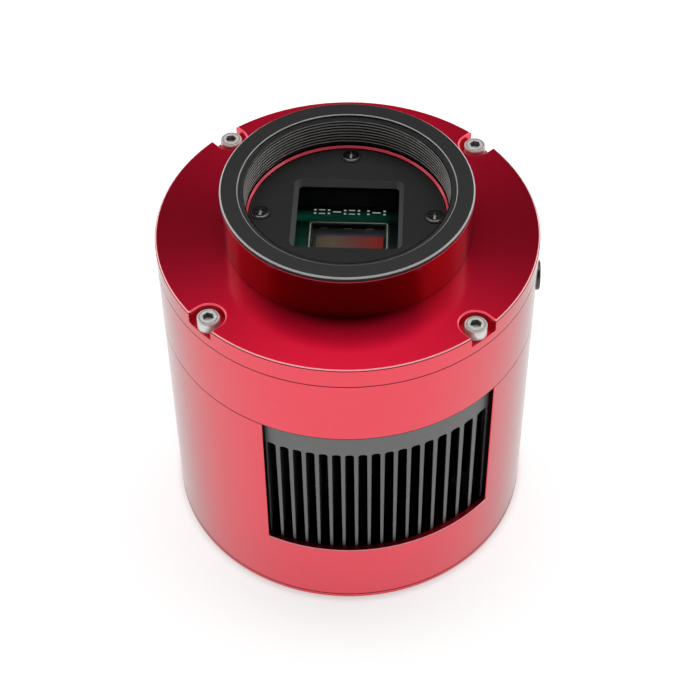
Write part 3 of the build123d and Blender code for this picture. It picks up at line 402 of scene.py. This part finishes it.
def socket_screw():
    """Bright steel, with painted shade in the cover screws' sockets and a painted dark reflection
    in a ring on their heads.
    """
    head = 2.25
    socket_from, socket_to = 1.25, 1.35  # radii past which a wall isn't the socket's
    dark_ring_from, dark_ring_to = 1.7, 1.84
    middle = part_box("cover_screws")[1].x / MM - head  # each axis is this far off in x and in y
    t = Tree("steel_screw")
    t.set(Metallic=0.2)
    x, y, _ = t.place()
    grain = t.noise(900.0, 4.0, 0.6)
    from_axis = t.radius(t.outside_of(x, middle * MM), t.outside_of(y, middle * MM))
    within = t.span(from_axis, socket_from * MM, socket_to * MM, 1.0, 0.0)
    socket = t.times(within, t.facing(-0.05, 0.3))
    line = t.times(t.band(from_axis, dark_ring_from * MM, dark_ring_to * MM, 0.06 * MM), t.facing(0.9, 1.0))
    # painted shade in the sockets and a painted dark reflection in a ring on each head
    dark = t.math("MAXIMUM", socket, t.times(line, 0.7))
    steel = t.mix(t.span(grain, 0.3, 0.7), (0.80, 0.79, 0.76), (0.97, 0.96, 0.93))
    t.drive(
        Base_Color=t.mix(dark, steel, (0.16, 0.155, 0.15)),
        Roughness=t.span(grain, 0.25, 0.75, 0.19, 0.31),
    )
    t.bump(grain, 0.01 * MM)
    return t


def cast_sink():
    """Grey blasted aluminium, with painted shade under the lip of the shell above it."""
    painted_shade_from, painted_shade_to = 52.7, 53.05
    t = Tree("heat_sink_metal")
    t.set(Metallic=0.35)
    z = t.place()[2]
    grain = t.noise(900.0, 4.0, 0.6)
    clean = t.mix(grain, (0.130, 0.137, 0.134), (0.170, 0.178, 0.175))
    # painted shade under the shell's lip
    painted_shade = t.span(z, painted_shade_from * MM, painted_shade_to * MM)
    t.drive(
        Base_Color=t.mix(painted_shade, clean, (0.03, 0.006, 0.008)),
        Roughness=t.span(grain, 0.25, 0.75, 0.4, 0.5),
    )
    t.bump(grain, 0.008 * MM)
    return t


def filtered_die():
    """The sensor's face: a painted sheen from olive grey to red across it, standing in for the
    filters' iridescence, a dark strip behind, and a faint painted glow.
    """
    half_width = 7.0
    strip_from, strip_to = 3.6, 4.1
    t = Tree("silicon_die")
    # a faint painted glow
    t.set(Roughness=0.2, Emission_Strength=0.1)
    x, y, _ = t.place()
    mottle = t.times(t.noise(300.0, 2.0, 0.5), 0.08)
    across = t.math("ADD", t.span(x, -half_width * MM, half_width * MM), mottle)
    # the filters' iridescence, painted as colours across the die
    painted_sheen = t.ramp(across, [
        (0.0, (0.11, 0.085, 0.065)),
        (0.3, (0.16, 0.11, 0.075)),
        (0.5, (0.19, 0.08, 0.075)),
        (0.72, (0.24, 0.05, 0.045)),
        (1.0, (0.36, 0.03, 0.02)),
    ])
    colour = t.mix(t.span(y, strip_from * MM, strip_to * MM), painted_sheen, (0.07, 0.05, 0.08))
    t.drive(Base_Color=colour, Emission_Color=colour)
    t.bump(t.noise(9000.0, 1.0, 0.5), 0.0002 * MM)
    return t


def seal_line():
    """The lid's seal: a thin pale outline with rounded corners, round a black frame."""
    half_x, half_y, corner, line = 8.1, 7.3, 0.9, 0.2
    t = Tree("gold_seal")
    t.set(Roughness=0.4)
    x, y, _ = t.place()
    sideways = t.math("MAXIMUM", t.outside_of(x, (half_x - corner) * MM), 0.0)
    lengthways = t.math("MAXIMUM", t.outside_of(y, (half_y - corner) * MM), 0.0)
    off_centre = t.radius(sideways, lengthways)
    outline = t.band(off_centre, (corner - line) * MM, corner * MM, 0.06 * MM)
    pale = t.mix(t.noise(2500.0), (0.60, 0.56, 0.47), (0.72, 0.68, 0.58))
    t.drive(Base_Color=t.mix(outline, (0.01, 0.01, 0.012), pale))
    t.bump(t.noise(2500.0), 0.005 * MM)
    return t


def green_mask():
    """Solder mask over copper, with darker tracks, painted shade towards +x, and a painted glow
    where light gets in behind.
    """
    shade_from, shade_to = 6.5, 8.7
    lit_from, lit_full, lit_fades, lit_to = 9.2, 10.2, 11.4, 13.2
    t = Tree("green_board")
    t.set(Roughness=0.3)
    x, y, z = t.place()
    stretched = t.vector(t.times(x, 260.0), t.times(y, 1600.0), z)
    tracks = t.span(t.noise(1.0, 1.0, 0.5, stretched), 0.45, 0.55)
    green = t.mix(tracks, (0.004, 0.062, 0.042), (0.007, 0.088, 0.058))
    colour = t.mix(t.span(x, shade_from * MM, shade_to * MM), green, (0.004, 0.016, 0.014))
    begins = t.span(y, lit_from * MM, lit_full * MM)
    ends = t.span(y, lit_fades * MM, lit_to * MM, 1.0, 0.0)
    t.drive(
        Base_Color=colour,
        Emission_Color=colour,
        Emission_Strength=t.times(t.times(begins, ends), 0.32),
    )
    t.bump(tracks, 0.01 * MM)
    return t


def pane(name, tint, index):
    """Coated glass: clear, with a mirror on top as faint as a glass of that index has."""
    t = Tree(name)
    t.tree.nodes.remove(t.shader)
    clear = t.node("ShaderNodeBsdfTransparent")
    clear.inputs[0].default_value = (*tint, 1.0)
    mirror = t.node("ShaderNodeBsdfGlossy")
    mirror.inputs["Color"].default_value = (0.75, 0.9, 0.85, 1.0)
    mirror.inputs["Roughness"].default_value = 0.03
    edge = t.node("ShaderNodeFresnel")
    edge.inputs["IOR"].default_value = index
    blend = t.node("ShaderNodeMixShader")
    t.link(edge.outputs[0], blend.inputs[0])
    t.link(clear.outputs[0], blend.inputs[1])
    t.link(mirror.outputs[0], blend.inputs[2])
    t.link(blend.outputs[0], t.output.inputs["Surface"])
    return t


RED_LIGHT = (0.812, 0.008, 0.044)
RED_DARK = (0.775, 0.006, 0.038)
# the dark red of the chamfers is painted shade
RED_CHAMFER_SHADE = (0.25, 0.002, 0.008)
RED_GLOSS = {"Coat_Roughness": 0.12, "Coat_IOR": 1.9, "Specular_Tint": (0.4, 0.8, 0.75, 1.0)}

# Plain finishes: light tone, dark tone, roughness, grain's scale, grain's height in mm, metallic.
PLAIN_FINISHES = {
    "black_rubber": (grey(0.02), grey(0.012), 0.7, 700.0, 0.01),
    "plug_metal": ((0.10, 0.105, 0.10), (0.07, 0.075, 0.07), 0.35, 900.0, 0.004, 1.0),
    "bare_aluminium": ((0.72, 0.72, 0.71), grey(0.6), 0.35, 600.0, 0.006, 1.0),
    "drying_tablet": ((0.82, 0.8, 0.74), (0.7, 0.68, 0.62), 0.85, 2500.0, 0.03),
    "chip_black": (grey(0.03), grey(0.02), 0.6, 2500.0, 0.01),
    "ceramic_package": ((0.008, 0.008, 0.010), (0.005, 0.005, 0.006), 0.5, 2000.0, 0.006),
    "nylon": ((0.75, 0.74, 0.7), (0.62, 0.61, 0.58), 0.5, 700.0, 0.01),
    "cooler_ceramic": ((0.85, 0.85, 0.84), (0.75, 0.75, 0.74), 0.5, 1500.0, 0.01),
    "cooler_legs": ((0.3, 0.3, 0.33), (0.2, 0.2, 0.22), 0.45, 1500.0, 0.01, 1.0),
    "copper": ((0.8, 0.42, 0.27), (0.65, 0.32, 0.2), 0.35, 900.0, 0.006, 1.0),
    "foam": (grey(0.05), grey(0.02), 0.95, 3000.0, 0.06),
    "connector_black": (grey(0.022), grey(0.014), 0.5, 1500.0, 0.01),
    "port_shell": ((0.7, 0.7, 0.69), (0.58, 0.58, 0.57), 0.34, 900.0, 0.0006, 1.0),
    "fan_plastic": (grey(0.02), grey(0.013), 0.45, 1200.0, 0.01),
    "bearing_bronze": ((0.6, 0.45, 0.25), (0.5, 0.36, 0.2), 0.4, 1500.0, 0.01, 1.0),
    "stator": ((0.35, 0.2, 0.12), (0.25, 0.13, 0.08), 0.4, 1500.0, 0.01, 1.0),
    "magnet": (grey(0.08), grey(0.05), 0.6, 1500.0, 0.01),
    "steel_shaft": ((0.65, 0.65, 0.66), (0.55, 0.55, 0.56), 0.2, 600.0, 0.002, 1.0),
}
materials = {
    "anodised_red": turned_metal(
        "red_anodised", RED_LIGHT, RED_DARK, 0.26, RED_CHAMFER_SHADE, 0.62, coats=(0.68, 0.36),
        **RED_GLOSS),
    # the ring's chamfers are painted lighter as a highlight, and its lips get a faint painted
    # glint
    "anodised_black": turned_metal(
        "black_anodised", (0.011, 0.011, 0.012), (0.009, 0.009, 0.010), 0.36, grey(0.06), 0.0,
        metallic=0.0, inner_painted_glint=grey(0.56), painted_glint_from=RING_SHELF, painted_glint_glow=0.10,
        IOR=1.5),
    # the plate's bevels are painted lighter as a highlight
    "black_plate": speckled(
        "black_plate", grey(0.026), grey(0.021), 0.6, 1500.0, 0.004, slope_highlight=grey(0.13), IOR=1.3),
    "black_screw": recessed_screw(),
    "steel_screw": socket_screw(),
    "window_glass": pane("window_glass", (0.96, 0.98, 0.97), 1.14),
    "lid_glass": pane("lid_glass", (0.96, 0.97, 0.96), 1.07),
    "green_board": green_mask(),
    "silicon_die": filtered_die(),
    "gold_seal": seal_line(),
    "heat_sink_metal": cast_sink(),
}
for slot_name, finish_values in PLAIN_FINISHES.items():
    materials[slot_name] = speckled(slot_name, *finish_values)

# a darker copy of the red for the neck: painted shade; its lips get a faint painted glint
shaded_red_neck = turned_metal(
    "shaded_red_neck", (0.58, 0.006, 0.030), (0.55, 0.005, 0.026), 0.10, RED_CHAMFER_SHADE, 0.2,
    coats=(0.6, 0.4), painted_glint_from=78.0, painted_glint_glow=0.2, **RED_GLOSS)
# the thread's flanks are painted near white as a highlight
thread_black = speckled(
    "thread_black", grey(0.010), grey(0.007), 0.4, 1500.0, 0.002,
    slope_highlight=(0.95, 0.95, 0.93), tilts=(0.5, 0.94))


def slots_by_node():
    """The record's material slot of each CAD node."""
    found = {}
    for part in frame["record"]["subparts"]:
        found[part.get("node") or part.get("name")] = part["material_slot"]
    return found


def dress_nodes():
    """Gives every CAD node its slot's material; the neck is turned finer than the other reds and
    painted darker as shade.
    """
    for name, slot in slots_by_node().items():
        finish = shaded_red_neck if name == "neck_ring" else materials[slot]
        mesh = frame["nodes"][name].data
        for i in range(len(mesh.materials)):
            mesh.materials[i] = finish.material


dress_nodes()


# ---------------------------------------------------------------- mesh helpers
def piece(
    name, verts, faces, material, body, replaces=(), second=None, first_of_second=0,
):
    """A mesh piece that rides on a CAD body, smooth but for its sharp edges.

    Its faces from first_of_second on have the second material, if there is one."""
    sharp = math.radians(30.0)
    same_place = 0.0005 * MM
    no_length = 0.0004 * MM
    mesh = bpy.data.meshes.new(name)
    mesh.from_pydata([Vector(v) * MM for v in verts], [], faces)
    if second:
        for face in mesh.polygons[first_of_second:]:
            face.material_index = 1
    work = bmesh.new()
    work.from_mesh(mesh)
    bmesh.ops.remove_doubles(work, verts=work.verts, dist=same_place)
    bmesh.ops.dissolve_degenerate(work, edges=work.edges, dist=no_length)
    bmesh.ops.recalc_face_normals(work, faces=work.faces)
    work.to_mesh(mesh)
    work.free()
    mesh.shade_smooth()
    mesh.set_sharp_from_angle(angle=sharp)
    mesh.materials.append(material.material)
    if second:
        mesh.materials.append(second.material)
    made = bpy.data.objects.new(name, mesh)
    scene.collection.objects.link(made)
    if replaces:
        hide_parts(*replaces)
    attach(made, body)
    return made


def lathe(profile, segments):
    """The verts and faces of an open profile of (radius, height) points turned about Z."""
    verts = []
    faces = []
    count = len(profile)
    for i in range(segments):
        angle = math.tau * i / segments
        verts += [(r * math.cos(angle), r * math.sin(angle), z) for r, z in profile]
    for i in range(segments):
        a, b = i * count, (i + 1) % segments * count
        faces += [(a + j, b + j, b + j + 1, a + j + 1) for j in range(count - 1)]
    return verts, faces


def eased(t):
    """A smooth step from 0 to 1."""
    t = max(0.0, min(1.0, t))
    return t * t * (3 - 2 * t)


def female_thread(minor, depth, pitch, bottom, top, segments):
    """The verts and faces of a helical female thread that fades in at its lower end."""
    form = ((0.0, 0.0), (0.58, 0.0), (0.7, 1.0), (0.8, 1.0))  # shares of the pitch and the depth
    fade = 0.4
    turns = math.ceil((top - bottom) / pitch) + 1
    rows = turns * len(form) + 1
    verts = []
    faces = []
    for i in range(segments):
        angle = math.tau * i / segments
        for row in range(rows):
            share, deep = form[row % len(form)]
            z = bottom + pitch * (row // len(form) + share - 1 + i / segments)
            z = max(bottom, min(top, z))
            r = minor + depth * deep * eased((z - bottom) / fade)
            verts.append((r * math.cos(angle), r * math.sin(angle), z))
    for i in range(segments):
        for row in range(rows - 1):
            a = i * rows + row
            b = a + rows
            if i == segments - 1:  # the last column meets the first a whole pitch further on
                b = row + len(form)
                if b + 1 >= rows:
                    continue
            faces.append((a, b, b + 1, a + 1))
    return verts, faces


def joined(*parts):
    """Several (verts, faces) as one."""
    verts = []
    faces = []
    for more_verts, more_faces in parts:
        faces += [tuple(i + len(verts) for i in face) for face in more_faces]
        verts += more_verts
    return verts, faces


def plates(boxes):
    """The verts and faces of small flat plates: (x, y, z, length, width, height), z underneath.

    Their top edges are bevelled."""
    parts = []
    for x, y, z, length, width, height in boxes:
        edge = min(length, width, height * 2) * 0.25
        verts = []
        for inset, level in ((0.0, z), (0.0, z + height - edge), (edge, z + height)):
            a, b = length / 2 - inset, width / 2 - inset
            corners = ((-a, -b), (a, -b), (a, b), (-a, b))
            verts += [(x + dx, y + dy, level) for dx, dy in corners]
        faces = [(3, 2, 1, 0), (8, 9, 10, 11)]
        for low in (0, 4):
            for i in range(4):
                j = (i + 1) % 4
                faces.append((low + i, low + j, low + 4 + j, low + 4 + i))
        parts.append((verts, faces))
    return joined(*parts)


# ---------------------------------------------------------------- adapter ring
def make_adapter_ring():
    """The black ring with its M42 x 0.75 female thread, shallower than the real one."""
    segments = 320
    bore = 20.6
    barrel = 23.0
    mouth = 21.9
    rim_cut = 0.3
    mouth_cut = 0.16
    foot_cut, thread_cut = 0.2, 0.25
    thread_pitch, thread_depth = 0.75, 0.2
    low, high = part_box("t2_adapter_ring")
    outer = high.x / MM
    bottom = low.z / MM
    seat = NECK_TOP + 0.1
    profile = [
        (bore, RING_SHELF),
        (mouth - mouth_cut, RING_SHELF),
        (mouth - mouth_cut, RING_TOP - mouth_cut),
        (mouth, RING_TOP),
        (outer - rim_cut, RING_TOP),
        (outer, RING_TOP - rim_cut),
        (outer, seat),
        (barrel, seat),
        (barrel, bottom + foot_cut),
        (barrel - foot_cut, bottom),
        (bore + thread_cut, bottom),
        (bore, bottom + thread_cut),
    ]
    thread = female_thread(
        bore, thread_depth, thread_pitch, bottom + thread_cut, RING_SHELF, segments)
    body = lathe(profile, segments)
    verts, faces = joined(body, thread)
    piece("adapter_ring_threaded", verts, faces, materials["anodised_black"], "adapter_ring",
          ["t2_adapter_ring"], second=thread_black, first_of_second=len(body[1]))


make_adapter_ring()


# ---------------------------------------------------------------- sensor and its board
def small_finish(name, colour, rough, metallic=0.0, glow=0.0):
    """A small part's finish, with a little grain, and a painted glow where it has to show in the
    dark.
    """
    grain_scale, grain_height = 3000.0, 0.003
    darker = tuple(c * 0.75 for c in colour)
    return speckled(name, colour, darker, rough, grain_scale, grain_height, metallic,
                    Emission_Color=(*colour, 1.0), Emission_Strength=glow)


def board_marks(board_top):
    """A generic row on the board: two pads for p, two dashes for d, one bar for c."""
    start, middle, height = -7.8, 12.6, 0.02
    # its middle's x, length, width, how far off the row's middle line, and the advance to the next
    kinds = {
        "p": (0.4, 0.5, 0.4, 0.5, 1.1),
        "d": (0.75, 1.3, 0.24, 0.55, 1.8),
        "c": (1.0, 1.7, 0.3, 0.0, 2.3),
    }
    gap = 0.9
    x = start
    marks = []
    for kind in "pdpcpdp pcp":
        if kind == " ":
            x += gap
            continue
        centre, length, width, off, advance = kinds[kind]
        for side in (-1, 1) if off else (1,):
            marks.append((x + centre, middle + side * off, board_top, length, width, height))
        x += advance
    return plates(marks)


def board_pads(board_top, package_edge):
    """A row of solder pads along the package's front and back."""
    each_way, pitch = 9, 0.8
    length, width, height = 0.42, 0.8, 0.03
    row = package_edge + 0.55
    pads = []
    for i in range(-each_way, each_way + 1):
        for side in (-1, 1):
            pads.append((i * pitch, side * row, board_top, length, width, height))
    return plates(pads)


def bond_wire_curve(routes):
    """One curve object's data with a thin smooth wire along each route."""
    wire_radius = 0.02
    wires = bpy.data.curves.new("bond_wires", "CURVE")
    wires.dimensions = "3D"
    wires.bevel_depth = wire_radius * MM
    wires.bevel_resolution = 1
    for points in routes:
        spline = wires.splines.new("NURBS")
        spline.points.add(len(points) - 1)
        for point, place in zip(spline.points, points):
            point.co = (*(Vector(place) * MM), 1.0)
        spline.order_u = 3
        spline.use_endpoint_u = True
    return wires


def make_sensor_details():
    """Bond wires, bond pads, and the generic marks and pads on the sensor board."""
    # the board's marks get a painted glow to show in the chamber's shade
    ink = small_finish("white_ink", (0.8, 0.82, 0.8), 0.6, glow=0.42)
    gold = small_finish("gold_pads", (0.75, 0.70, 0.58), 0.35, 0.3)
    die_low, die_high = (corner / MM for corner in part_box("sensor_die"))
    board_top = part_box("sensor_board")[1].z / MM
    package_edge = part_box("sensor_package")[1].y / MM

    verts, faces = board_marks(board_top)
    piece("board_marks", verts, faces, ink, "camera")
    verts, faces = board_pads(board_top, package_edge)
    piece("board_pads", verts, faces, gold, "camera")

    pad_y, pad_drop, pad_width, pad_height = 6.2, 0.1, 0.16, 0.03
    pad_z = die_high.z - pad_drop
    group_starts, wire_pitch, wires_in_group = (-6.0, -0.9, 3.6), 0.34, 5
    inset, rise_by, rise, fall_from, fall = 0.12, 0.25, 0.3, 5.6, 0.22  # each wire's arch
    spots = [start + i * wire_pitch for start in group_starts for i in range(wires_in_group)]
    pads = []
    routes = []
    for side, edge in ((1, abs(die_high.y)), (-1, abs(die_low.y))):
        for x in spots:
            pads.append((x, side * pad_y, pad_z, pad_width, pad_width, pad_height))
            routes.append([
                (x, side * (edge - inset), die_high.z),
                (x, side * (edge + rise_by), die_high.z + rise),
                (x, side * fall_from, die_high.z + fall),
                (x, side * pad_y, pad_z + pad_height),
            ])
    verts, faces = plates(pads)
    piece("bond_pads", verts, faces, gold, "camera")
    wires = bond_wire_curve(routes)
    wires.materials.append(small_finish("bond_wire", (0.10, 0.09, 0.07), 0.4, 1.0).material)
    made = bpy.data.objects.new("bond_wires", wires)
    scene.collection.objects.link(made)
    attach(made, "camera")


make_sensor_details()


# ---------------------------------------------------------------- studio
# Soft boxes: name, place, point they face, width, depth, radiance.
SOFT_BOXES = (
    ("overhead", (0, 0.16, 1.2), (0, 0.16, 0.0), 1.0, 0.28, 5.4),
    ("overhead_back", (0, 0.57, 1.2), (0, 0.57, 0.0), 1.6, 0.54, 1.5),
    ("overhead_wide", (0, 0.70, 1.2), (0, 0.70, 0.0), 2.4, 0.40, 0.86),
    ("panel_right", (1.0, 0.08, 0.95), (0, 0, 0.05), 0.7, 0.7, 0.42),
    ("panel_left", (-1.0, 0.08, 0.95), (0, 0, 0.05), 0.7, 0.7, 0.24),
)


def area_light(name, place, aim, width, depth, radiance):
    """A soft box at place that faces aim, giving that radiance."""
    data = bpy.data.lights.new(name, "AREA")
    data.shape = "RECTANGLE"
    data.size = width
    data.size_y = depth
    data.energy = radiance * math.pi * width * depth
    lamp = bpy.data.objects.new(name, data)
    lamp.location = place
    lamp.rotation_mode = "QUATERNION"
    lamp.rotation_quaternion = (Vector(aim) - Vector(place)).to_track_quat("-Z", "Y")
    scene.collection.objects.link(lamp)


def make_floor():
    """A plain pale floor just under the object, which glows outside the object's foot; the glow
    fades out towards the foot, which paints a tight contact shadow.
    """
    gap = 0.02 * MM
    # the glow fades out towards the foot: a painted contact shadow
    glow_from, glow_to, glow = 35.5, 40.3, 0.75
    bpy.ops.mesh.primitive_plane_add(size=16.0, location=(0, 0, cad_low.z - gap))
    floor = bpy.context.object
    floor.name = "floor"
    t = Tree("floor")
    t.set(Roughness=0.9, Specular_IOR_Level=0.0, Emission_Color=(*grey(1.0), 1.0))
    x, y, _ = t.place()
    t.drive(
        Base_Color=t.mix(t.noise(3.0), grey(0.59), grey(0.61)),
        Emission_Strength=t.span(t.radius(x, y), glow_from * MM, glow_to * MM, 0.0, glow),
    )
    floor.data.materials.append(t.material)


def make_room():
    """A dim room: a warm pale horizon under darker walls, darkest in front."""
    front, back = -0.6, 0.7  # a direction's y between which the walls lighten
    dark_wall, light_wall = 0.012, 0.03
    horizon_from, horizon_to = 0.22, 0.42  # a direction's z between which the horizon ends
    horizon_colour = (0.86, 0.81, 0.77, 1.0)
    world = bpy.data.worlds.new("room")
    scene.world = world
    world.use_nodes = True
    tree = world.node_tree
    tree.nodes.clear()
    output = tree.nodes.new("ShaderNodeOutputWorld")
    background = tree.nodes.new("ShaderNodeBackground")
    coordinates = tree.nodes.new("ShaderNodeTexCoord")
    split = tree.nodes.new("ShaderNodeSeparateXYZ")
    walls = tree.nodes.new("ShaderNodeMapRange")
    walls.inputs["From Min"].default_value = front
    walls.inputs["From Max"].default_value = back
    walls.inputs["To Min"].default_value = dark_wall
    walls.inputs["To Max"].default_value = light_wall
    height = tree.nodes.new("ShaderNodeMapRange")
    height.interpolation_type = "SMOOTHSTEP"
    height.inputs["From Min"].default_value = horizon_from
    height.inputs["From Max"].default_value = horizon_to
    blend = tree.nodes.new("ShaderNodeMix")
    blend.data_type = "RGBA"
    horizon, above = [socket for socket in blend.inputs if socket.type == "RGBA"]
    colour = [socket for socket in blend.outputs if socket.type == "RGBA"][0]
    horizon.default_value = horizon_colour
    tree.links.new(coordinates.outputs["Generated"], split.inputs[0])
    tree.links.new(split.outputs["Y"], walls.inputs[0])
    tree.links.new(split.outputs["Z"], height.inputs[0])
    tree.links.new(height.outputs[0], blend.inputs[0])
    tree.links.new(walls.outputs[0], above)
    tree.links.new(colour, background.inputs["Color"])
    tree.links.new(background.outputs[0], output.inputs[0])


make_floor()
for soft_box in SOFT_BOXES:
    area_light(*soft_box)
make_room()
